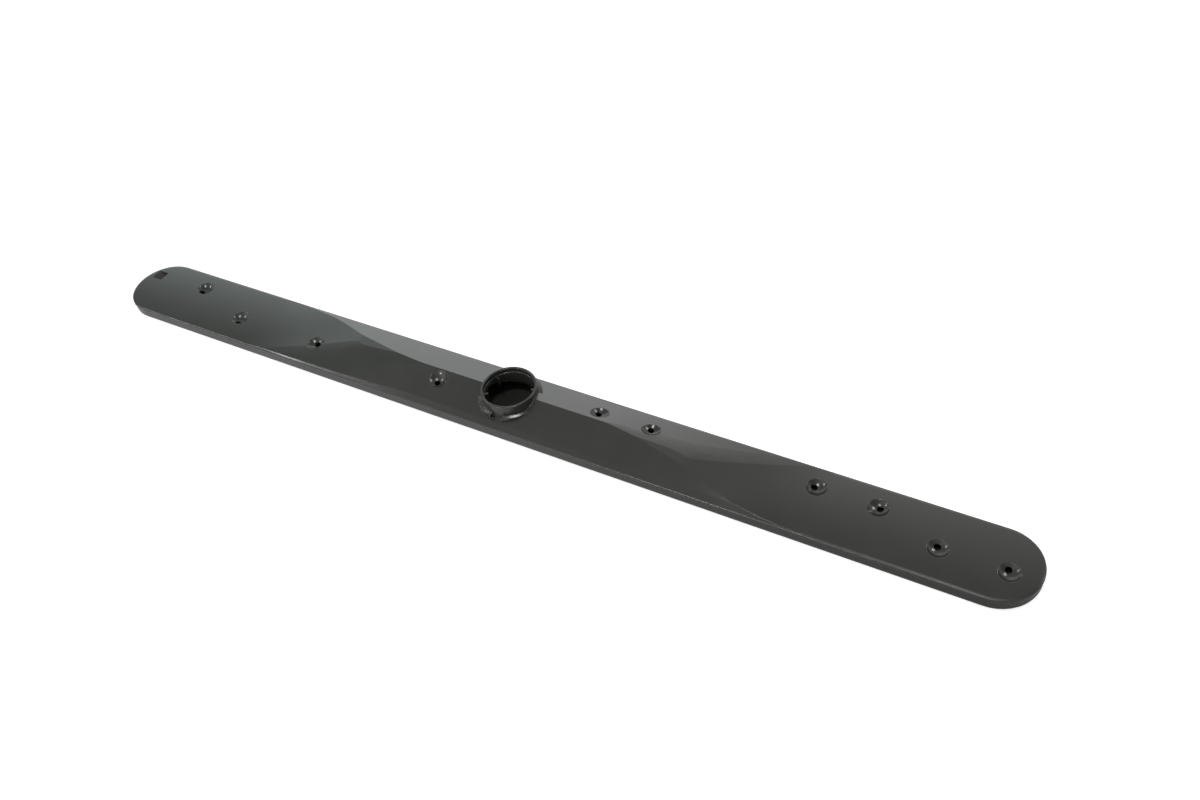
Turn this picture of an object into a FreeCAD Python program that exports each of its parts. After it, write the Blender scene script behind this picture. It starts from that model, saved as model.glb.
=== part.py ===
import FreeCAD, Part
import math
import os

import Sketcher
from FreeCAD import Placement, Rotation, Vector

# Spray arm of a dishwasher: two plastic mouldings welded at their rims, turning about a feed collar.
# The underside stands on z = 0, the arm lies along x and the collar's axis is z, all in millimetres.

os.makedirs("parts", exist_ok=True)
doc = FreeCAD.newDocument("SprayArm")


# Driving sizes
SIZES = [
    ("arm_length", 480.0, "overall length, tip to tip"),
    ("arm_width", 36.0, "overall width, the tips are half circles of this width"),
    ("seam_height", 5.2, "parting line between the two shells"),
    ("lip_height", 6.5, "flat top of both ends"),
    ("eaves_height", 6.6, "lowest line of the roof slopes"),
    ("ridge_height", 13.8, "ridge over the middle"),
    ("fall_start", 45.0, "where the ridge starts to fall, from the middle"),
    ("end_length", 90.0, "flat part of each end, from the tip"),
    ("ridge_lead", 0.06, "start of the fall above the ridge, which gives it a clean crease"),
    ("soft_start", 50.0, "where the soft flank starts to flatten, from the middle"),
    ("soft_overrun", 5.0, "how far the soft flank runs on past the start of the flat end"),
    ("soft_round", 50.0, "radius of the soft bend between flank and fall, once it has opened out"),
    ("ridge_round", 2.0, "radius with which the soft bend leaves the ridge"),
    ("soft_lead", 0.05, "start of the soft bend above the fall, which gives it a clean line"),
    ("roof_wall", 1.6, "thickness of the roof, measured upright"),
    ("floor_wall", 1.6, "thickness of the floor"),
    ("side_wall", 1.8, "thickness of the lower shell's side"),
    ("lip_overhang", 0.3, "how far the upper shell stands out past the lower"),
    ("brim_height", 6.2, "height at which the side starts to lean in"),
    ("brim_lean", 62.0, "lean of the brim from upright, in degrees"),
    ("lip_round", 0.8, "rounding along the upper shell's top edge"),
    ("bevel_width", 1.3, "width of the faint bevel round both flat ends"),
    ("bevel_lean", 83.0, "lean of the bevel from upright, in degrees"),
    ("bevel_fade", 0.08, "slope with which the bevel fades out towards the middle"),
    ("foot_round", 1.5, "rounding along the lower shell's bottom edge"),
    ("rib_thickness", 1.0, "locating rib that drops into the lower shell"),
    ("rib_depth", 1.0, "how far the locating rib reaches below the seam"),
    ("rib_clearance", 0.1, "gap between locating rib and side wall"),
    ("collar_radius", 13.1, "outside of the feed collar"),
    ("socket_radius", 12.0, "bore of the collar above its stops, which takes the feed pipe"),
    ("throat_radius", 11.7, "bore of the collar below the socket"),
    ("collar_top", 16.6, "height of the collar's rim"),
    ("rim_round", 0.3, "rounding of the collar's rim, inside and outside"),
    ("flange_radius", 14.8, "locking flange round the collar's foot"),
    ("flange_top", 11.3, "height of the locking flange"),
    ("flange_gap", 5.9, "width of the two gaps in the flange"),
    ("stop_reach", 1.8, "how far a stop stands into the throat"),
    ("stop_width", 1.1, "width of a stop"),
    ("stop_top", 14.2, "height of the stops"),
    ("stop_foot", 10.0, "bottom of the stops"),
    ("bowl_radius", 4.5, "radius of a nozzle bowl at the surface"),
    ("bowl_depth", 2.2, "depth of a nozzle bowl"),
    ("bowl_wall", 1.3, "thickness of a bowl's underside"),
    ("jet_radius", 1.4, "radius of a jet"),
    ("scoop_setback", 4.4, "outer end of the tip nozzle's ramp, from the tip"),
    ("scoop_length", 6.4, "length of the ramp up to its upright face"),
    ("scoop_depth", 3.0, "depth of the ramp at its face"),
    ("scoop_side", 6.8, "place of the tip nozzle across the arm"),
    ("scoop_width", 6.0, "width of the tip nozzle"),
    ("scoop_sink", 0.2, "top of the tip nozzle's housing below the flat end"),
    ("block_spare", 0.2, "how far the arm's uncut block reaches above the ridge"),
    ("spare", 6.0, "how far the cutting forms reach past the arm"),
]

sheet = doc.addObject("Spreadsheet::Sheet", "Sizes")
for row, (alias, value, meaning) in enumerate(SIZES, start=1):
    sheet.set("A%d" % row, meaning)
    sheet.set("B%d" % row, str(value))
    sheet.setAlias("B%d" % row, alias)
doc.recompute()


def size(alias):
    return "Sizes.%s" % alias


# Sizes that follow from the driving ones
END_CENTRE = "(Sizes.arm_length - Sizes.arm_width) / 2"
HALF_WIDTH = "Sizes.arm_width / 2"
SLOPE = "(Sizes.ridge_height - Sizes.eaves_height) / (Sizes.arm_width / 2)"
FALL_END = "(Sizes.arm_length / 2 - Sizes.end_length)"
SOFT_END = "(%s + Sizes.soft_overrun)" % FALL_END
SCOOP_MOUTH = "(Sizes.arm_length / 2 - Sizes.scoop_setback)"
SCOOP_FACE = "(Sizes.arm_length / 2 - Sizes.scoop_setback - Sizes.scoop_length)"
FALL_RUN = "(%s - Sizes.fall_start)" % FALL_END
FALL_DROP = "(Sizes.ridge_height + Sizes.ridge_lead - Sizes.lip_height)"
FALL_RADIUS = "(%s * %s + %s * %s) / (4 * %s)" % (FALL_RUN, FALL_RUN, FALL_DROP, FALL_DROP, FALL_DROP)
OVER = "(Sizes.ridge_height + Sizes.arm_width)"
BEYOND = "(Sizes.arm_length / 2 + Sizes.spare)"
BOWL_BALL = "(pow(Sizes.bowl_radius; 2) + pow(Sizes.bowl_depth; 2)) / (2 * Sizes.bowl_depth)"


# Helpers
def bind(thing, bindings):
    for prop, expression in bindings.items():
        thing.setExpression(prop, expression)


def origin_feature(body, role):
    return [item for item in body.Origin.OriginFeatures if item.Role == role][0]


def sketch_on(body, name, role, offset=None):
    sketch = body.newObject("Sketcher::SketchObject", name)
    sketch.AttachmentSupport = [(origin_feature(body, role), "")]
    sketch.MapMode = "FlatFace"
    if offset:
        sketch.setExpression("AttachmentOffset.Base.z", offset)
    return sketch


def pin(sketch, geometry, point, x, y):
    for kind, expression in (("DistanceX", x), ("DistanceY", y)):
        index = sketch.addConstraint(Sketcher.Constraint(kind, -1, 1, geometry, point, value_of(expression)))
        sketch.setExpression("Constraints[%d]" % index, expression)


def value_of(expression):
    return float(sheet.evalExpression(expression))


def polygon(sketch, corners):
    spots = [Vector(value_of(x), value_of(y), 0) for x, y in corners]
    count = len(spots)
    for index in range(count):
        sketch.addGeometry(Part.LineSegment(spots[index], spots[(index + 1) % count]))
    for index in range(count):
        sketch.addConstraint(Sketcher.Constraint("Coincident", index, 2, (index + 1) % count, 1))
    for index, (x, y) in enumerate(corners):
        pin(sketch, index, 1, x, y)


def slot_sketch(sketch, radius):
    centre = value_of(END_CENTRE)
    start = value_of(radius)
    quarter = math.pi / 2
    right_end = Part.Circle(Vector(centre, 0, 0), Vector(0, 0, 1), start)
    left_end = Part.Circle(Vector(-centre, 0, 0), Vector(0, 0, 1), start)
    sketch.addGeometry(Part.LineSegment(Vector(-centre, start, 0), Vector(centre, start, 0)))
    sketch.addGeometry(Part.ArcOfCircle(right_end, -quarter, quarter))
    sketch.addGeometry(Part.LineSegment(Vector(centre, -start, 0), Vector(-centre, -start, 0)))
    sketch.addGeometry(Part.ArcOfCircle(left_end, quarter, 3 * quarter))
    for line, line_end, arc, arc_end in ((0, 2, 1, 2), (2, 1, 1, 1), (2, 2, 3, 2), (0, 1, 3, 1)):
        sketch.addConstraint(Sketcher.Constraint("Tangent", line, line_end, arc, arc_end))
    sketch.addConstraint(Sketcher.Constraint("Horizontal", 0))
    sketch.addConstraint(Sketcher.Constraint("PointOnObject", 1, 3, -1))
    sketch.addConstraint(Sketcher.Constraint("PointOnObject", 3, 3, -1))
    right = sketch.addConstraint(Sketcher.Constraint("DistanceX", -1, 1, 1, 3, centre))
    left = sketch.addConstraint(Sketcher.Constraint("DistanceX", 3, 3, -1, 1, centre))
    bend = sketch.addConstraint(Sketcher.Constraint("Radius", 1, start))
    sketch.setExpression("Constraints[%d]" % right, END_CENTRE)
    sketch.setExpression("Constraints[%d]" % left, END_CENTRE)
    sketch.setExpression("Constraints[%d]" % bend, radius)


def slot_body(name, radius, bottom, height):
    body = doc.addObject("PartDesign::Body", name)
    sketch = sketch_on(body, name + "Outline", "XY_Plane", bottom)
    slot_sketch(sketch, radius)
    pad = body.newObject("PartDesign::Pad", name + "Pad")
    pad.Profile = sketch
    pad.setExpression("Length", height)
    return body


def cut(name, base, tool):
    result = doc.addObject("Part::Cut", name)
    result.Base = base
    result.Tool = tool
    return result


def common(name, base, tool):
    result = doc.addObject("Part::Common", name)
    result.Base = base
    result.Tool = tool
    return result


def fuse(name, shapes):
    result = doc.addObject("Part::MultiFuse", name)
    result.Shapes = shapes
    return result


def cylinder(name, radius, bottom, height):
    result = doc.addObject("Part::Cylinder", name)
    bind(result, {"Radius": radius, "Height": height, "Placement.Base.z": bottom})
    return result


# Space above the roof: the two falls along the arm and the two flanks that twist flat towards one end
above = doc.addObject("PartDesign::Body", "AboveRoof")

fall_sketch = sketch_on(above, "FallProfile", "XZ_Plane")
run = value_of(FALL_RUN)
drop = value_of(FALL_DROP)
radius = value_of(FALL_RADIUS)
turn = 2 * math.atan(drop / run)
crest = Vector(value_of(size("fall_start")), value_of("Sizes.ridge_height + Sizes.ridge_lead"), 0)
foot = Vector(value_of(FALL_END), value_of(size("lip_height")), 0)
far = value_of(BEYOND)
high = value_of(OVER)
quarter = math.pi / 2
upper_circle = Part.Circle(crest - Vector(0, radius, 0), Vector(0, 0, 1), radius)
lower_circle = Part.Circle(foot + Vector(0, radius, 0), Vector(0, 0, 1), radius)
fall_sketch.addGeometry(Part.LineSegment(Vector(0, crest.y, 0), crest))
fall_sketch.addGeometry(Part.ArcOfCircle(upper_circle, quarter - turn, quarter))
fall_sketch.addGeometry(Part.ArcOfCircle(lower_circle, -quarter - turn, -quarter))
fall_sketch.addGeometry(Part.LineSegment(foot, Vector(far, foot.y, 0)))
fall_sketch.addGeometry(Part.LineSegment(Vector(far, foot.y, 0), Vector(far, high, 0)))
fall_sketch.addGeometry(Part.LineSegment(Vector(far, high, 0), Vector(0, high, 0)))
fall_sketch.addGeometry(Part.LineSegment(Vector(0, high, 0), Vector(0, crest.y, 0)))
for first, first_end, second, second_end in ((0, 2, 1, 2), (1, 1, 2, 1), (2, 2, 3, 1)):
    fall_sketch.addConstraint(Sketcher.Constraint("Tangent", first, first_end, second, second_end))
for first, second in ((3, 4), (4, 5), (5, 6), (6, 0)):
    fall_sketch.addConstraint(Sketcher.Constraint("Coincident", first, 2, second, 1))
fall_sketch.addConstraint(Sketcher.Constraint("Equal", 1, 2))
fall_sketch.addConstraint(Sketcher.Constraint("Horizontal", 0))
fall_sketch.addConstraint(Sketcher.Constraint("Horizontal", 3))
fall_sketch.addConstraint(Sketcher.Constraint("Vertical", 4))
fall_sketch.addConstraint(Sketcher.Constraint("Horizontal", 5))
fall_sketch.addConstraint(Sketcher.Constraint("Vertical", 6))
pin(fall_sketch, 0, 2, size("fall_start"), "Sizes.ridge_height + Sizes.ridge_lead")
pin(fall_sketch, 2, 2, FALL_END, size("lip_height"))
pin(fall_sketch, 5, 1, BEYOND, OVER)
fall_sketch.addConstraint(Sketcher.Constraint("PointOnObject", 6, 2, -2))

fall_pad = above.newObject("PartDesign::Pad", "FallPad")
fall_pad.Profile = fall_sketch
fall_pad.SideType = "Symmetric"
fall_pad.setExpression("Length", "Sizes.arm_width + 2 * Sizes.spare")
doc.recompute()
mirror = above.newObject("PartDesign::Mirrored", "BothFalls")
mirror.Originals = [fall_pad]
mirror.MirrorPlane = (origin_feature(above, "YZ_Plane"), [""])
above.Tip = mirror
doc.recompute()


def fall_height(reach):
    """Height of the fall at a distance from the middle: an arc down, an arc out and the flat end."""
    half_way = "(Sizes.fall_start + %s) / 2" % FALL_END
    bend = "sqrt(pow(%s; 2) - pow(%s - %s; 2))"
    down = bend % (FALL_RADIUS, reach, size("fall_start"))
    out = bend % (FALL_RADIUS, FALL_END, reach)
    upper = "Sizes.ridge_height + Sizes.ridge_lead - %s + %s" % (FALL_RADIUS, down)
    lower = "Sizes.lip_height + %s - %s" % (FALL_RADIUS, out)
    beyond_half = "(%s < %s ? %s : Sizes.lip_height)" % (reach, FALL_END, lower)
    return "(%s < %s ? %s : %s)" % (reach, half_way, upper, beyond_half)


# How the flank changes on its way to the end: the share of its steepness that it loses, how evenly
# it loses it, and how quickly the soft bend opens out
FLANK_LOSS = 0.94
FLANK_POWER = 1.15
OPENING_POWER = 4


def flank_tilt(fraction):
    """Steepness of the flank, which twists almost flat towards the end."""
    return "((%s) * (1 - %g * pow(%s; %g)))" % (SLOPE, FLANK_LOSS, fraction, FLANK_POWER)


def flank_profile(sketch, reach, fraction):
    """Outline of the space above the roof: level, then round the soft bend and down along the flank."""
    far_side = "(Sizes.arm_width / 2 + Sizes.spare)"
    tilt = flank_tilt(fraction)
    level = "(%s + Sizes.soft_lead)" % fall_height(reach)
    bend = "(Sizes.ridge_round + Sizes.soft_round * (1 - pow(1 - %s; %d)))" % (fraction, OPENING_POWER)
    corner = "(Sizes.arm_width / 2 - (%s - Sizes.eaves_height) / %s)" % (level, tilt)
    bend_start = "(%s - %s * tan(atan(%s) / 2))" % (corner, bend, tilt)
    bend_end = "(%s + %s * tan(atan(%s) / 2) * cos(atan(%s)))" % (corner, bend, tilt, tilt)
    low = "(Sizes.eaves_height - Sizes.spare * %s)" % tilt
    lean = math.atan(value_of(tilt))
    start = Vector(value_of(bend_start), value_of(level), 0)
    centre = start - Vector(0, value_of(bend), 0)
    finish = centre + Vector(math.sin(lean), math.cos(lean), 0) * value_of(bend)
    foot = Vector(value_of(far_side), value_of(low), 0)
    top = value_of(OVER)
    quarter = math.pi / 2
    circle = Part.Circle(centre, Vector(0, 0, 1), value_of(bend))
    sketch.addGeometry(Part.LineSegment(Vector(-foot.x, start.y, 0), start))
    sketch.addGeometry(Part.ArcOfCircle(circle, quarter - lean, quarter))
    sketch.addGeometry(Part.LineSegment(finish, foot))
    sketch.addGeometry(Part.LineSegment(foot, Vector(foot.x, top, 0)))
    sketch.addGeometry(Part.LineSegment(Vector(foot.x, top, 0), Vector(-foot.x, top, 0)))
    sketch.addGeometry(Part.LineSegment(Vector(-foot.x, top, 0), Vector(-foot.x, start.y, 0)))
    for first, first_end, second, second_end in ((0, 2, 1, 2), (1, 1, 2, 1)):
        sketch.addConstraint(Sketcher.Constraint("Tangent", first, first_end, second, second_end))
    for first, second in ((2, 3), (3, 4), (4, 5), (5, 0)):
        sketch.addConstraint(Sketcher.Constraint("Coincident", first, 2, second, 1))
    sketch.addConstraint(Sketcher.Constraint("Horizontal", 0))
    pin(sketch, 0, 1, "-" + far_side, level)
    pin(sketch, 3, 1, far_side, low)
    pin(sketch, 4, 1, far_side, OVER)
    pin(sketch, 5, 1, "-" + far_side, OVER)
    across = sketch.addConstraint(Sketcher.Constraint("DistanceX", -1, 1, 0, 2, start.x))
    sketch.setExpression("Constraints[%d]" % across, bend_start)
    round_off = sketch.addConstraint(Sketcher.Constraint("Radius", 1, value_of(bend)))
    sketch.setExpression("Constraints[%d]" % round_off, bend)


STATIONS = 10
stations = []
for number in range(STATIONS + 1):
    share = "%.6f" % (number / STATIONS)
    reach = "(Sizes.soft_start + (%s - Sizes.soft_start) * %s)" % (SOFT_END, share)
    station = sketch_on(above, "Flank%d" % number, "YZ_Plane", reach)
    flank_profile(station, reach, share)
    stations.append(station)

flank_pad = above.newObject("PartDesign::Pad", "FlankPad")
flank_pad.Profile = stations[0]
flank_pad.Reversed = True
flank_pad.setExpression("Length", "Sizes.soft_start + %s" % BEYOND)
doc.recompute()
flank_loft = above.newObject("PartDesign::AdditiveLoft", "FlankLoft")
flank_loft.Profile = stations[0]
flank_loft.Sections = stations[1:]
doc.recompute()
turned = above.newObject("PartDesign::PolarPattern", "BothFlanks")
turned.Originals = [flank_pad, flank_loft]
turned.Axis = (origin_feature(above, "Z_Axis"), [""])
turned.Angle = 360
turned.Occurrences = 2
above.Tip = turned
doc.recompute()

# Arm's outer form, and the form of the water channel below the roof
ARM_TOP = "(Sizes.ridge_height + Sizes.block_spare)"
CHANNEL_INSET = "(Sizes.lip_overhang + Sizes.side_wall + Sizes.rib_clearance + Sizes.rib_thickness)"
RIB_INSET = "(Sizes.lip_overhang + Sizes.side_wall + Sizes.rib_clearance)"

arm_block = slot_body("ArmBlock", HALF_WIDTH, "0", size("brim_height"))
brim_sketch = sketch_on(arm_block, "BrimOutline", "XY_Plane", size("brim_height"))
slot_sketch(brim_sketch, HALF_WIDTH)
brim = arm_block.newObject("PartDesign::Pad", "BrimPad")
brim.Profile = brim_sketch
bind(brim, {"Length": ARM_TOP + " - Sizes.brim_height", "TaperAngle": "-Sizes.brim_lean"})
doc.recompute()


LEVEL_WITHIN = 0.001


def level_edges(shape, height):
    """Numbers of the edges that lie level at this height."""
    found = []
    for index, edge in enumerate(shape.Edges, start=1):
        box = edge.BoundBox
        if abs(box.ZMin - height) < LEVEL_WITHIN and abs(box.ZMax - height) < LEVEL_WITHIN:
            found.append(index)
    return found


def edge_names(numbers):
    return ["Edge%d" % number for number in numbers]


lip_round = arm_block.newObject("PartDesign::Fillet", "LipRound")
lip_round.Base = (brim, edge_names(level_edges(brim.Shape, value_of(size("brim_height")))))
lip_round.setExpression("Radius", size("lip_round"))
arm_block.Tip = lip_round
doc.recompute()

# Faint bevel that catches the light round both flat ends and fades out where the falls begin
BEVEL_FOOT = "(Sizes.lip_height - Sizes.bevel_width / tan(Sizes.bevel_lean))"
BEVEL_RISE = "(2 * (Sizes.lip_height - %s))" % BEVEL_FOOT
FADE_END = "(%s - (%s - %s) / Sizes.bevel_fade)" % (FALL_END, ARM_TOP, BEVEL_FOOT)
end_form = doc.addObject("PartDesign::Body", "EndForm")
fade_sketch = sketch_on(end_form, "FadeProfile", "XZ_Plane")
polygon(fade_sketch, [
    ("-" + BEYOND, "0"),
    (BEYOND, "0"),
    (BEYOND, BEVEL_FOOT),
    (FALL_END, BEVEL_FOOT),
    (FADE_END, ARM_TOP),
    ("-" + FADE_END, ARM_TOP),
    ("-" + FALL_END, BEVEL_FOOT),
    ("-" + BEYOND, BEVEL_FOOT),
])
fade_pad = end_form.newObject("PartDesign::Pad", "FadePad")
fade_pad.Profile = fade_sketch
fade_pad.SideType = "Symmetric"
fade_pad.setExpression("Length", "Sizes.arm_width + 2 * Sizes.spare")
doc.recompute()
bevel_sketch = sketch_on(end_form, "BevelOutline", "XY_Plane", BEVEL_FOOT)
slot_sketch(bevel_sketch, HALF_WIDTH)
bevel_pad = end_form.newObject("PartDesign::Pad", "BevelPad")
bevel_pad.Profile = bevel_sketch
bind(bevel_pad, {"Length": BEVEL_RISE, "TaperAngle": "-Sizes.bevel_lean"})
end_form.Tip = bevel_pad
doc.recompute()
bevelled_block = common("BevelledBlock", arm_block, end_form)
arm_form = cut("ArmForm", bevelled_block, above)
doc.recompute()

above_channel = doc.addObject("App::Link", "AboveChannel")
above_channel.LinkedObject = above
above_channel.LinkTransform = False
above_channel.setExpression("LinkPlacement.Base.z", "-Sizes.roof_wall")
channel_block = slot_body("ChannelBlock", "%s - %s" % (HALF_WIDTH, CHANNEL_INSET), "0", ARM_TOP)
channel = cut("Channel", channel_block, above_channel)

below_seam = doc.addObject("Part::Box", "BelowSeam")
bind(below_seam, {
    "Length": "2 * " + BEYOND,
    "Width": "Sizes.arm_width + 2 * Sizes.spare",
    "Height": size("seam_height"),
    "Placement.Base.x": "-" + BEYOND,
    "Placement.Base.y": "-Sizes.arm_width / 2 - Sizes.spare",
})

# Upper shell: roof and lip, with a locating rib that drops inside the lower shell's side
roof = cut("Roof", arm_form, below_seam)
rib_foot = "Sizes.seam_height - Sizes.rib_depth"
rib_height = "Sizes.rib_depth + (Sizes.lip_height - Sizes.seam_height) / 2"
locating_rib = slot_body("LocatingRib", "%s - %s" % (HALF_WIDTH, RIB_INSET), rib_foot, rib_height)
rib_hollow = slot_body("RibHollow", "%s - %s" % (HALF_WIDTH, CHANNEL_INSET), "0", size("seam_height"))

# Feed collar with its locking flange, which shows where the roof falls away to both sides.
# The flange's two gaps face each other almost square to the arm.
GAP_ANGLE = 4.0
collar_height = "Sizes.collar_top - Sizes.seam_height"
flange_height = "Sizes.flange_top - Sizes.seam_height"
collar = cylinder("Collar", size("collar_radius"), size("seam_height"), collar_height)
flange_disc = cylinder("FlangeDisc", size("flange_radius"), size("seam_height"), flange_height)
flange_gaps = doc.addObject("Part::Box", "FlangeGaps")
gap_turn = Rotation(Vector(0, 0, 1), GAP_ANGLE)
flange_gaps.Placement = Placement(Vector(), gap_turn)
gap_across = gap_turn.multVec(Vector(1, 0, 0))
gap_reach = "(Sizes.flange_radius + Sizes.spare)"
bind(flange_gaps, {
    "Length": size("flange_gap"),
    "Width": "2 * " + gap_reach,
    "Height": size("collar_top"),
    "Placement.Base.x": "%s * %.6f - Sizes.flange_gap / 2 * %.6f" % (gap_reach, gap_across.y, gap_across.x),
    "Placement.Base.y": "-%s * %.6f - Sizes.flange_gap / 2 * %.6f" % (gap_reach, gap_across.x, gap_across.y),
    "Placement.Base.z": size("seam_height"),
})
flange = cut("Flange", flange_disc, flange_gaps)
doc.recompute()

# Nozzle bowls: each is part of a ball let into the surface, with a jet drilled square to the ball's wall.
# A row gives the side of the arm, the distance along it (from the tip on a flat end, else from the middle),
# the distance across, the surface that the bowl lies in and the jet's offset in the bowl.
LEFT = -1
RIGHT = 1
NOZZLES = [
    ("Nozzle1", LEFT, 40.3, 7.7, "end", -1.5, -1.8),
    ("Nozzle2", LEFT, 75.1, -3.4, "end", -0.5, -2.3),
    ("Nozzle3", LEFT, 112.9, -4.9, "fall", -0.5, 1.0),
    ("Nozzle4", LEFT, 37.1, -4.7, "slope", -0.7, -1.6),
    ("Nozzle5", RIGHT, 43.8, 6.0, "slope", -1.2, 1.2),
    ("Nozzle6", RIGHT, 69.5, 6.3, "flank", -1.1, 1.8),
    ("Nozzle7", RIGHT, 94.4, 7.5, "end", -1.5, 0.9),
    ("Nozzle8", RIGHT, 67.9, 7.2, "end", 0.5, 1.1),
    ("Nozzle9", RIGHT, 40.2, -2.6, "end", -0.8, 1.8),
    ("Nozzle10", RIGHT, 12.5, -2.8, "end", -0.9, 2.1),
]
SLOPE_ANGLE = "atan(%s)" % SLOPE


def fall_angle(reach):
    return "asin((%s - %g) / (%s))" % (FALL_END, reach, FALL_RADIUS)


def place_along(side, reach, surface):
    if surface == "end":
        return "%d * (Sizes.arm_length / 2 - %g)" % (side, reach)
    return "%d * %g" % (side, reach)


def seat(side, reach, across, surface):
    """Height of the surface at a nozzle, the axis that it leans about and the lean."""
    across_axis = Vector(-math.copysign(1, across), 0, 0)
    if surface == "slope":
        height = "Sizes.ridge_height - %g * %s" % (abs(across), SLOPE)
        return height, across_axis, SLOPE_ANGLE
    if surface == "flank":
        gone = "(%g - Sizes.soft_start) / (%s - Sizes.soft_start)" % (reach, SOFT_END)
        steepness = flank_tilt("(%s)" % gone)
        height = "Sizes.eaves_height + (Sizes.arm_width / 2 - %g) * %s" % (abs(across), steepness)
        return height, across_axis, "atan(%s)" % steepness
    if surface == "fall":
        return fall_height("%g" % reach), Vector(0, side, 0), fall_angle(reach)
    return size("lip_height"), Vector(1, 0, 0), "0"


def ball(name, radius, side, reach, across, surface):
    """Ball whose centre stands over the surface, square to it, so that it dips in by the bowl's depth."""
    height, axis, lean = seat(side, reach, across, surface)
    outward = Rotation(axis, value_of(lean)).multVec(Vector(0, 0, 1))
    lift = "(%s - Sizes.bowl_depth)" % BOWL_BALL
    result = doc.addObject("Part::Sphere", name)
    bind(result, {
        "Radius": radius,
        "Placement.Base.x": "%s + %s * %.6f" % (place_along(side, reach, surface), lift, outward.x),
        "Placement.Base.y": "%g + %s * %.6f" % (across, lift, outward.y),
        "Placement.Base.z": "%s + %s * %.6f" % (height, lift, outward.z),
    })
    return result


cups = []
bowls = []
for name, side, reach, across, surface, aim_x, aim_y in NOZZLES:
    cups.append(ball(name + "Cup", "%s + Sizes.bowl_wall" % BOWL_BALL, side, reach, across, surface))
    bowls.append(ball(name + "Bowl", BOWL_BALL, side, reach, across, surface))
doc.recompute()

jets = []
for (name, side, reach, across, surface, aim_x, aim_y), bowl in zip(NOZZLES, bowls):
    lean = math.degrees(math.asin(math.hypot(aim_x, aim_y) / value_of(BOWL_BALL)))
    swing = Rotation(Vector(-aim_y, aim_x, 0), 180 - lean)
    axis, tilt = seat(side, reach, across, surface)[1:]
    jet = doc.addObject("Part::Cylinder", name + "Jet")
    jet.Placement = Placement(Vector(), Rotation(axis, value_of(tilt)).multiply(swing))
    bind(jet, {
        "Radius": size("jet_radius"),
        "Height": "%s + 3 * Sizes.bowl_wall" % BOWL_BALL,
        "Placement.Base.x": bowl.Name + ".Placement.Base.x",
        "Placement.Base.y": bowl.Name + ".Placement.Base.y",
        "Placement.Base.z": bowl.Name + ".Placement.Base.z",
    })
    jets.append(jet)

# Tip nozzle: a short ramp let into the left end, with a jet that fires outwards from its upright face
scoop_block = doc.addObject("PartDesign::Body", "Scoop")
scoop_sketch = sketch_on(scoop_block, "ScoopProfile", "XZ_Plane", "-Sizes.scoop_side")
polygon(scoop_sketch, [
    ("-" + SCOOP_MOUTH, size("lip_height")),
    ("-" + SCOOP_FACE, "Sizes.lip_height - Sizes.scoop_depth"),
    ("-" + SCOOP_FACE, "Sizes.lip_height + Sizes.spare"),
    ("-" + SCOOP_MOUTH, "Sizes.lip_height + Sizes.spare"),
])
scoop_pad = scoop_block.newObject("PartDesign::Pad", "ScoopPad")
scoop_pad.Profile = scoop_sketch
scoop_pad.SideType = "Symmetric"
scoop_pad.setExpression("Length", size("scoop_width"))

scoop_shell = doc.addObject("Part::Box", "ScoopShell")
bind(scoop_shell, {
    "Length": "Sizes.scoop_length + Sizes.bowl_wall",
    "Width": "Sizes.scoop_width + 2 * Sizes.bowl_wall",
    "Height": "Sizes.scoop_depth + Sizes.bowl_wall - Sizes.scoop_sink",
    "Placement.Base.x": "-" + SCOOP_MOUTH,
    "Placement.Base.y": "Sizes.scoop_side - Sizes.scoop_width / 2 - Sizes.bowl_wall",
    "Placement.Base.z": "Sizes.lip_height - Sizes.scoop_depth - Sizes.bowl_wall",
})
scoop_cup = common("ScoopCup", scoop_shell, rib_hollow)
scoop_jet = doc.addObject("Part::Cylinder", "ScoopJet")
scoop_jet.Placement = Placement(Vector(), Rotation(Vector(0, 1, 0), 90))
bind(scoop_jet, {
    "Radius": size("jet_radius"),
    "Height": "3 * Sizes.bowl_wall",
    "Placement.Base.x": "-%s - Sizes.bowl_wall" % SCOOP_FACE,
    "Placement.Base.y": size("scoop_side"),
    "Placement.Base.z": "Sizes.lip_height - Sizes.scoop_depth / 2",
})

# Stops inside the collar, which meet the feed pipe's end
STOP_ANGLES = [26.0, 153.0, 212.0, 310.0]
stops = []
for index, angle in enumerate(STOP_ANGLES, start=1):
    stop = doc.addObject("Part::Box", "Stop%d" % index)
    turn_to = Rotation(Vector(0, 0, 1), angle)
    stop.Placement = Placement(Vector(), turn_to)
    outward = turn_to.multVec(Vector(1, 0, 0))
    inner = "(Sizes.throat_radius - Sizes.stop_reach)"
    bind(stop, {
        "Length": "Sizes.stop_reach + (Sizes.collar_radius - Sizes.throat_radius) / 2",
        "Width": size("stop_width"),
        "Height": "Sizes.stop_top - Sizes.stop_foot",
        "Placement.Base.x": "%s * %.6f + Sizes.stop_width / 2 * %.6f" % (inner, outward.x, outward.y),
        "Placement.Base.y": "%s * %.6f - Sizes.stop_width / 2 * %.6f" % (inner, outward.y, outward.x),
        "Placement.Base.z": size("stop_foot"),
    })
    stops.append(stop)

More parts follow.
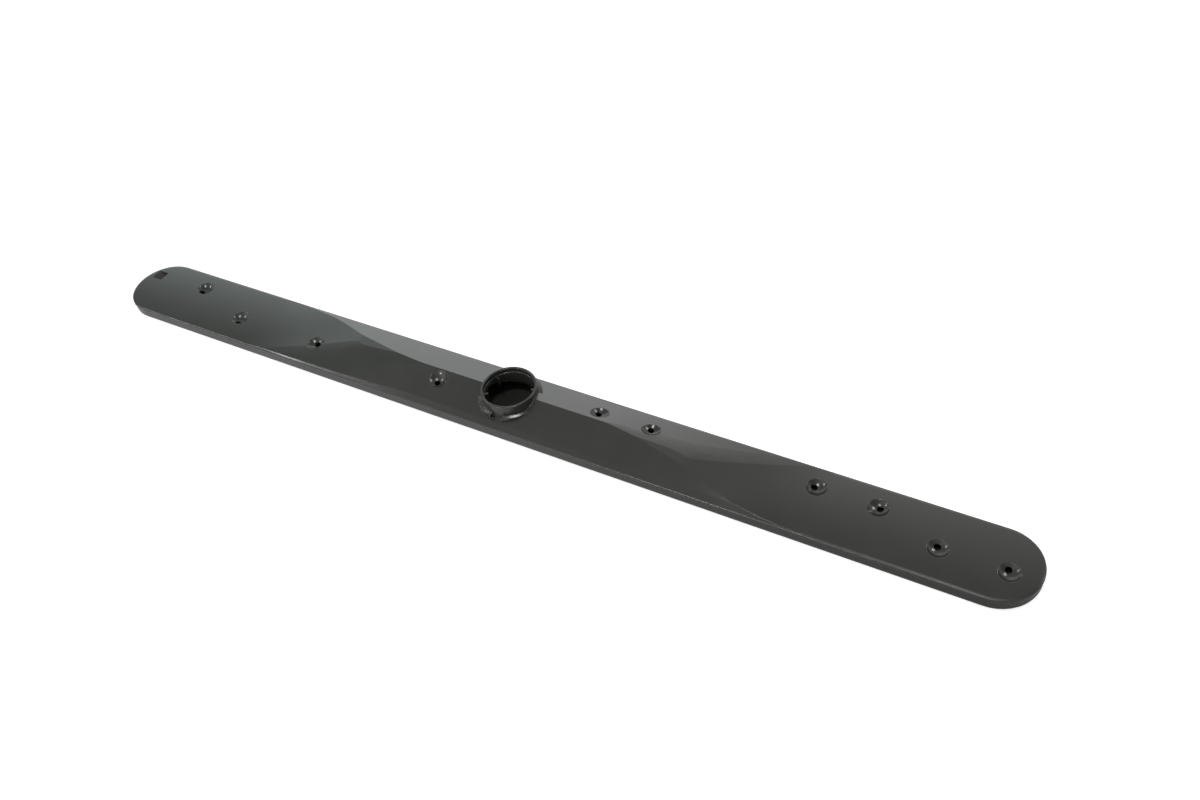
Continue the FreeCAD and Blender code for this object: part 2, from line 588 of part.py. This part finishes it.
# The channel and the rib's hollow are cut from roof, rib, collar and flange before the cups go in below
throat = cylinder("Throat", size("throat_radius"), "0", size("collar_top"))
socket = cylinder("Socket", size("socket_radius"), size("stop_top"), "Sizes.collar_top - Sizes.stop_top")
upper_solid = fuse("UpperSolid", [roof, locating_rib, collar, flange])
water_space = fuse("WaterSpace", [channel, rib_hollow, throat, socket])
upper_walls = cut("UpperWalls", upper_solid, water_space)
doc.recompute()
cup_balls = fuse("CupBalls", cups)
cup_walls = common("CupWalls", cup_balls, arm_form)
upper_fittings = fuse("UpperFittings", [upper_walls, cup_walls, scoop_cup] + stops)
nozzle_cuts = fuse("NozzleCuts", bowls + jets + [scoop_block, scoop_jet])
drilled_shell = cut("DrilledShell", upper_fittings, nozzle_cuts)
doc.recompute()

rim_height = value_of(size("collar_top"))
rim_round = value_of(size("rim_round"))
upper_shell = doc.addObject("Part::Fillet", "UpperShell")
upper_shell.Base = drilled_shell
upper_shell.Edges = [(index, rim_round, rim_round) for index in level_edges(drilled_shell.Shape, rim_height)]
upper_shell.Label = "upper_shell"
doc.recompute()

# Lower shell: a shallow tray that closes the channel, its side set back under the lip
tray = slot_body("Tray", "%s - Sizes.lip_overhang" % HALF_WIDTH, "0", size("seam_height"))
doc.recompute()
tray_block = tray.Tip
foot_round = tray.newObject("PartDesign::Fillet", "FootRound")
foot_round.Base = (tray_block, edge_names(level_edges(tray_block.Shape, 0)))
foot_round.setExpression("Radius", size("foot_round"))
tray_hollow = sketch_on(tray, "TrayHollow", "XY_Plane", size("floor_wall"))
slot_sketch(tray_hollow, "%s - Sizes.lip_overhang - Sizes.side_wall" % HALF_WIDTH)
tray_pocket = tray.newObject("PartDesign::Pocket", "TrayPocket")
tray_pocket.Profile = tray_hollow
tray_pocket.Reversed = True
tray_pocket.setExpression("Length", "Sizes.seam_height - Sizes.floor_wall")
tray.Tip = tray_pocket
tray.Label = "lower_shell"
doc.recompute()

# Every object has to have come out whole before anything is written
for item in doc.Objects:
    if "Invalid" in item.State or "Error" in item.State:
        raise RuntimeError("%s failed: %s" % (item.Name, item.State))

for piece in (upper_shell, tray):
    shape = piece.Shape
    if shape.isNull() or not shape.isValid() or len(shape.Solids) != 1:
        raise RuntimeError("%s is not one sound solid" % piece.Label)
    shape.exportStep("parts/%s.step" % piece.Label)
    print(piece.Label, round(shape.Volume), "mm3", len(shape.Faces), "faces")
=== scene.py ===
import math

import bmesh
import bpy
from mathutils import Matrix, Vector

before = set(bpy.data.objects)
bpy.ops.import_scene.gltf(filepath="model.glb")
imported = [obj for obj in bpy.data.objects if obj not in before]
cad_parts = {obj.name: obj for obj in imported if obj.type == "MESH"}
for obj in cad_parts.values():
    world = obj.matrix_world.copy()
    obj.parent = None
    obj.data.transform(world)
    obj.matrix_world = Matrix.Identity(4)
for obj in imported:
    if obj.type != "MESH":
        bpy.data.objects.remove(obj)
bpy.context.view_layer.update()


# The two shells
# The roof and the tray under it are injection moulded in the same charcoal polypropylene
# and welded at the seam. The skin is satin and slightly cloudy, edges are softened by the
# tool's wear, both flat ends stay a little crowned and the flange's top leans outward.
CHARCOAL = (0.0215, 0.0218, 0.0195)
TINT_SPREAD = 0.08
UPPER_ROUGHNESS = 0.22
LOWER_ROUGHNESS = 0.25
ROUGHNESS_SPREAD = 0.02
CLOUD_SCALE = 60
CLOUD_LOW = 0.3
CLOUD_HIGH = 0.7
GRAIN_SCALE = 3200
GRAIN_STRENGTH = 0.05
GRAIN_DEPTH = 0.00005
EDGE_ROUND = 0.0004
CROWN_RADIUS = 0.12
CROWN_FROM = 0.11
CROWN_FULL = 0.15
FLANGE_HEIGHT = 0.0113
FLANGE_WITHIN = 0.0001
FLANGE_REACH = 0.0155
FLANGE_LEAN = 0.46
LEVEL_FROM = 0.98


def math_step(nodes, links, operation, *values):
    step = nodes.new("ShaderNodeMath")
    step.operation = operation
    for number, value in enumerate(values):
        if isinstance(value, (int, float)):
            step.inputs[number].default_value = value
        else:
            links.new(value, step.inputs[number])
    return step.outputs["Value"]


def noise_step(nodes, links, place, scale, detail):
    noise = nodes.new("ShaderNodeTexNoise")
    noise.inputs["Scale"].default_value = scale
    noise.inputs["Detail"].default_value = detail
    links.new(place, noise.inputs["Vector"])
    return noise.outputs["Fac"]


def skin_group():
    """Cloud and grain of the skin, and in Relief the slow heights of the crowned ends and the flange."""
    group = bpy.data.node_groups.new("moulded_skin", "ShaderNodeTree")
    group.interface.new_socket("Place", in_out="INPUT", socket_type="NodeSocketVector")
    group.interface.new_socket("Cloud", in_out="OUTPUT", socket_type="NodeSocketFloat")
    group.interface.new_socket("Grain", in_out="OUTPUT", socket_type="NodeSocketFloat")
    group.interface.new_socket("Relief", in_out="OUTPUT", socket_type="NodeSocketFloat")
    nodes, links = group.nodes, group.links
    place = nodes.new("NodeGroupInput").outputs["Place"]
    outlet = nodes.new("NodeGroupOutput")
    links.new(noise_step(nodes, links, place, CLOUD_SCALE, 2), outlet.inputs["Cloud"])
    links.new(noise_step(nodes, links, place, GRAIN_SCALE, 1), outlet.inputs["Grain"])
    split = nodes.new("ShaderNodeSeparateXYZ")
    links.new(place, split.inputs["Vector"])
    out = math_step(nodes, links, "ABSOLUTE", split.outputs["X"])
    ends = nodes.new("ShaderNodeMapRange")
    ends.interpolation_type = "SMOOTHSTEP"
    ends.inputs["From Min"].default_value = CROWN_FROM
    ends.inputs["From Max"].default_value = CROWN_FULL
    links.new(out, ends.inputs["Value"])
    square = math_step(nodes, links, "MULTIPLY", split.outputs["Y"], split.outputs["Y"])
    dip = math_step(nodes, links, "MULTIPLY", square, -1 / (2 * CROWN_RADIUS))
    crown = math_step(nodes, links, "MULTIPLY", dip, ends.outputs["Result"])
    # The flange's top is the one level face at its height within its reach
    spot = nodes.new("ShaderNodeVectorMath")
    spot.operation = "MULTIPLY"
    spot.inputs[1].default_value = (1, 1, 0)
    links.new(place, spot.inputs[0])
    radius = nodes.new("ShaderNodeVectorMath")
    radius.operation = "LENGTH"
    links.new(spot.outputs["Vector"], radius.inputs[0])
    facing = nodes.new("ShaderNodeNewGeometry")
    upright = nodes.new("ShaderNodeSeparateXYZ")
    links.new(facing.outputs["True Normal"], upright.inputs["Vector"])
    level = math_step(nodes, links, "GREATER_THAN", upright.outputs["Z"], LEVEL_FROM)
    near = math_step(nodes, links, "LESS_THAN", radius.outputs["Value"], FLANGE_REACH)
    height = math_step(nodes, links, "COMPARE", split.outputs["Z"], FLANGE_HEIGHT, FLANGE_WITHIN)
    level_and_near = math_step(nodes, links, "MULTIPLY", level, near)
    flange = math_step(nodes, links, "MULTIPLY", level_and_near, height)
    lean = math_step(nodes, links, "MULTIPLY", radius.outputs["Value"], -FLANGE_LEAN)
    slope = math_step(nodes, links, "MULTIPLY", lean, flange)
    links.new(math_step(nodes, links, "ADD", crown, slope), outlet.inputs["Relief"])
    return group


moulded_skin = skin_group()


def moulded_plastic(name, roughness):
    material = bpy.data.materials.new(name)
    material.use_nodes = True
    nodes, links = material.node_tree.nodes, material.node_tree.links
    shader = nodes["Principled BSDF"]
    place = nodes.new("ShaderNodeTexCoord")
    skin = nodes.new("ShaderNodeGroup")
    skin.node_tree = moulded_skin
    links.new(place.outputs["Object"], skin.inputs["Place"])
    tint = nodes.new("ShaderNodeMix")
    tint.data_type = "RGBA"
    tint.inputs["A"].default_value = (*[part * (1 - TINT_SPREAD) for part in CHARCOAL], 1)
    tint.inputs["B"].default_value = (*[part * (1 + TINT_SPREAD) for part in CHARCOAL], 1)
    links.new(skin.outputs["Cloud"], tint.inputs["Factor"])
    links.new(tint.outputs["Result"], shader.inputs["Base Color"])
    gloss = nodes.new("ShaderNodeMapRange")
    gloss.inputs["From Min"].default_value = CLOUD_LOW
    gloss.inputs["From Max"].default_value = CLOUD_HIGH
    gloss.inputs["To Min"].default_value = roughness - ROUGHNESS_SPREAD
    gloss.inputs["To Max"].default_value = roughness + ROUGHNESS_SPREAD
    links.new(skin.outputs["Cloud"], gloss.inputs["Value"])
    links.new(gloss.outputs["Result"], shader.inputs["Roughness"])
    edges = nodes.new("ShaderNodeBevel")
    edges.samples = 6
    edges.inputs["Radius"].default_value = EDGE_ROUND
    relief = nodes.new("ShaderNodeBump")
    relief.inputs["Strength"].default_value = 1
    relief.inputs["Distance"].default_value = 1  # the group gives this height in metres
    links.new(skin.outputs["Relief"], relief.inputs["Height"])
    links.new(edges.outputs["Normal"], relief.inputs["Normal"])
    grain = nodes.new("ShaderNodeBump")
    grain.inputs["Strength"].default_value = GRAIN_STRENGTH
    grain.inputs["Distance"].default_value = GRAIN_DEPTH
    links.new(skin.outputs["Grain"], grain.inputs["Height"])
    links.new(relief.outputs["Normal"], grain.inputs["Normal"])
    links.new(grain.outputs["Normal"], shader.inputs["Normal"])
    return material


upper_plastic = moulded_plastic("charcoal_upper", UPPER_ROUGHNESS)
lower_plastic = moulded_plastic("charcoal_lower", LOWER_ROUGHNESS)
for node, finish in (("upper_shell", upper_plastic), ("lower_shell", lower_plastic)):
    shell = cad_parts[node]
    shell.data.materials.clear()
    shell.data.materials.append(finish)


# The table and the light
# The arm lies on a white paper table, which glows in the arm's reflections as a painted reflection, brighter
# at the arm's left. A long pale wall behind it gives most of the light and grows dim overhead, and four
# small lamps stand behind, above, in front and to the left.
TABLE_HALF = 3
PAPER = (0.46, 0.46, 0.46, 1)
PAPER_ROUGHNESS = 0.9
PAPER_SEEN = 0.7
PAINTED_REFLECTION = 0.4
PAINTED_REFLECTION_FULL_TO = -0.02
PAINTED_REFLECTION_END = 0.22
LAMP_REACH = 1.3


def white_paper(name):
    """Paper that looks white to the camera, and glows for mirrored rays as a painted reflection, brighter in
    the arm's left half than its right.
    """
    material = bpy.data.materials.new(name)
    material.use_nodes = True
    nodes, links = material.node_tree.nodes, material.node_tree.links
    shader = nodes["Principled BSDF"]
    shader.inputs["Base Color"].default_value = PAPER
    shader.inputs["Roughness"].default_value = PAPER_ROUGHNESS
    shader.inputs["Emission Color"].default_value = (1, 1, 1, 1)
    place = nodes.new("ShaderNodeTexCoord")
    split = nodes.new("ShaderNodeSeparateXYZ")
    links.new(place.outputs["Object"], split.inputs["Vector"])
    # Painted reflection: for mirrored rays the table glows most at the arm's left and fades out towards its
    # right end
    painted_reflection_fade = nodes.new("ShaderNodeMapRange")
    painted_reflection_fade.inputs["From Min"].default_value = PAINTED_REFLECTION_FULL_TO
    painted_reflection_fade.inputs["From Max"].default_value = PAINTED_REFLECTION_END
    painted_reflection_fade.inputs["To Min"].default_value = PAINTED_REFLECTION
    painted_reflection_fade.inputs["To Max"].default_value = 0
    links.new(split.outputs["X"], painted_reflection_fade.inputs["Value"])
    paths = nodes.new("ShaderNodeLightPath")
    painted_reflection_glow = math_step(nodes, links, "MULTIPLY", paths.outputs["Is Glossy Ray"], painted_reflection_fade.outputs["Result"])
    seen = math_step(nodes, links, "MULTIPLY", paths.outputs["Is Camera Ray"], PAPER_SEEN)
    glow = math_step(nodes, links, "ADD", painted_reflection_glow, seen)
    links.new(glow, shader.inputs["Emission Strength"])
    return material


def flat_sheet(name, corners, finish):
    form = bmesh.new()
    form.faces.new([form.verts.new(corner) for corner in corners])
    mesh = bpy.data.meshes.new(name)
    form.to_mesh(mesh)
    form.free()
    mesh.materials.append(finish)
    sheet = bpy.data.objects.new(name, mesh)
    bpy.context.scene.collection.objects.link(sheet)


flat_sheet(
    "table",
    [
        (-TABLE_HALF, -TABLE_HALF, 0),
        (TABLE_HALF, -TABLE_HALF, 0),
        (TABLE_HALF, TABLE_HALF, 0),
        (-TABLE_HALF, TABLE_HALF, 0),
    ],
    white_paper("table_white_painted_reflection"),
)


def small_lamp(name, towards, length, width, brightness):
    """An oval lamp in this direction from the arm's middle, as many degrees long and wide as it is seen."""
    towards = Vector(towards).normalized()
    light = bpy.data.lights.new(name, "AREA")
    light.shape = "ELLIPSE"
    light.size = 2 * LAMP_REACH * math.tan(math.radians(length / 2))
    light.size_y = 2 * LAMP_REACH * math.tan(math.radians(width / 2))
    light.energy = brightness * math.pi * math.pi * light.size * light.size_y / 4
    lamp = bpy.data.objects.new(name, light)
    bpy.context.scene.collection.objects.link(lamp)
    across = Vector((1, 0, 0))
    across = (across - across.dot(towards) * towards).normalized()
    axes = Matrix((across, towards.cross(across), towards)).transposed()
    lamp.matrix_world = Matrix.LocRotScale(towards * LAMP_REACH, axes.to_quaternion(), None)


small_lamp("lamp_behind", (0.54, 0.54, 0.64), 15, 15, 13)
small_lamp("lamp_above", (0.087, -0.15, 0.985), 16, 16, 20)
small_lamp("lamp_front", (-0.2, -0.93, 0.3), 14, 7, 26)
small_lamp("lamp_left", (-0.755, -0.23, 0.614), 12, 12, 15)

# Brightness of the room by how far round the arm it lies, from in front (0) over the top (0.5) to behind (1)
ROOM = (
    (0.0, 1.5),
    (0.15, 1.1),
    (0.3, 0.55),
    (0.38, 0.4),
    (0.69, 0.48),
    (0.73, 0.6),
    (0.77, 0.76),
    (0.83, 1.02),
    (0.87, 1.18),
    (0.96, 1.6),
    (1.0, 1.65),
)
ROOM_SCALE = 1.7
# It dims towards the right, and turns a little cooler far to the left
DIM_FROM = -0.2
DIM_SHARE = 0.55
COOL_FROM = -0.35
COOL_FULL = -0.7
PALE = (1, 1, 1, 1)
COOL = (0.91, 1.02, 1.0, 1)

world = bpy.data.worlds.new("studio")
bpy.context.scene.world = world
world.use_nodes = True
sky_nodes, sky_links = world.node_tree.nodes, world.node_tree.links
backdrop = sky_nodes["Background"]
coords = sky_nodes.new("ShaderNodeTexCoord")
flatten = sky_nodes.new("ShaderNodeVectorMath")
flatten.operation = "MULTIPLY"
flatten.inputs[1].default_value = (0, 1, 1)
sky_links.new(coords.outputs["Generated"], flatten.inputs[0])
around = sky_nodes.new("ShaderNodeVectorMath")
around.operation = "NORMALIZE"
sky_links.new(flatten.outputs["Vector"], around.inputs[0])
split = sky_nodes.new("ShaderNodeSeparateXYZ")
sky_links.new(around.outputs["Vector"], split.inputs["Vector"])
share = math_step(sky_nodes, sky_links, "MULTIPLY_ADD", split.outputs["Y"], 0.5, 0.5)
wall = sky_nodes.new("ShaderNodeValToRGB")
stops = wall.color_ramp.elements
while len(stops) < len(ROOM):
    stops.new(0.5)
for stop, (place, brightness) in zip(stops, ROOM):
    stop.position = place
    stop.color = (*[brightness / ROOM_SCALE] * 3, 1)
sky_links.new(share, wall.inputs["Fac"])
room = math_step(sky_nodes, sky_links, "MULTIPLY", wall.outputs["Color"], ROOM_SCALE)
paths = sky_nodes.new("ShaderNodeLightPath")
seen = sky_nodes.new("ShaderNodeMix")
seen.data_type = "FLOAT"
seen.inputs["B"].default_value = 1.0
ends = sky_nodes.new("ShaderNodeSeparateXYZ")
sky_links.new(coords.outputs["Generated"], ends.inputs["Vector"])
fade = sky_nodes.new("ShaderNodeMapRange")
fade.inputs["From Min"].default_value = DIM_FROM
fade.inputs["From Max"].default_value = 0
fade.inputs["To Min"].default_value = 1
fade.inputs["To Max"].default_value = DIM_SHARE
sky_links.new(ends.outputs["X"], fade.inputs["Value"])
faded_room = math_step(sky_nodes, sky_links, "MULTIPLY", room, fade.outputs["Result"])
sky_links.new(paths.outputs["Is Camera Ray"], seen.inputs["Factor"])
sky_links.new(faded_room, seen.inputs["A"])
sky_links.new(seen.outputs["Result"], backdrop.inputs["Strength"])
left = sky_nodes.new("ShaderNodeMapRange")
left.inputs["From Min"].default_value = COOL_FROM
left.inputs["From Max"].default_value = COOL_FULL
sky_links.new(ends.outputs["X"], left.inputs["Value"])
unseen = math_step(sky_nodes, sky_links, "SUBTRACT", 1, paths.outputs["Is Camera Ray"])
cool_share = math_step(sky_nodes, sky_links, "MULTIPLY", left.outputs["Result"], unseen)
shade = sky_nodes.new("ShaderNodeMix")
shade.data_type = "RGBA"
shade.inputs["A"].default_value = PALE
shade.inputs["B"].default_value = COOL
sky_links.new(cool_share, shade.inputs["Factor"])
sky_links.new(shade.outputs["Result"], backdrop.inputs["Color"])
bpy.context.scene.view_settings.view_transform = "Standard"


# The camera
# It looks down on the arm from the front right, half a metre off, with a lens as wide
# as 35 mm and the frame turned by ten degrees.
VIEW_TURN = math.radians(35.84)
VIEW_HEIGHT = math.radians(45.903)
VIEW_ROLL = math.radians(-9.773)
VIEW_CENTRE = Vector((0.03728, 0.01667, 0.0065))
VIEW_DISTANCE = 0.53654
FOCAL_PIXELS = 1176.03
PHOTO_WIDTH = 1200

back = Vector((
    math.sin(VIEW_TURN) * math.cos(VIEW_HEIGHT),
    -math.cos(VIEW_TURN) * math.cos(VIEW_HEIGHT),
    math.sin(VIEW_HEIGHT),
))
right = Vector((math.cos(VIEW_TURN), math.sin(VIEW_TURN), 0))
up = back.cross(right)
lens = bpy.data.cameras.new("photo_camera")
lens.sensor_width = 36
lens.lens = lens.sensor_width * FOCAL_PIXELS / PHOTO_WIDTH
camera = bpy.data.objects.new("photo_camera", lens)
bpy.context.scene.collection.objects.link(camera)
turned_right = right * math.cos(VIEW_ROLL) + up * math.sin(VIEW_ROLL)
turned_up = up * math.cos(VIEW_ROLL) - right * math.sin(VIEW_ROLL)
axes = Matrix((turned_right, turned_up, back)).transposed()
camera.matrix_world = Matrix.LocRotScale(VIEW_CENTRE + back * VIEW_DISTANCE, axes.to_quaternion(), None)
bpy.context.scene.camera = camera
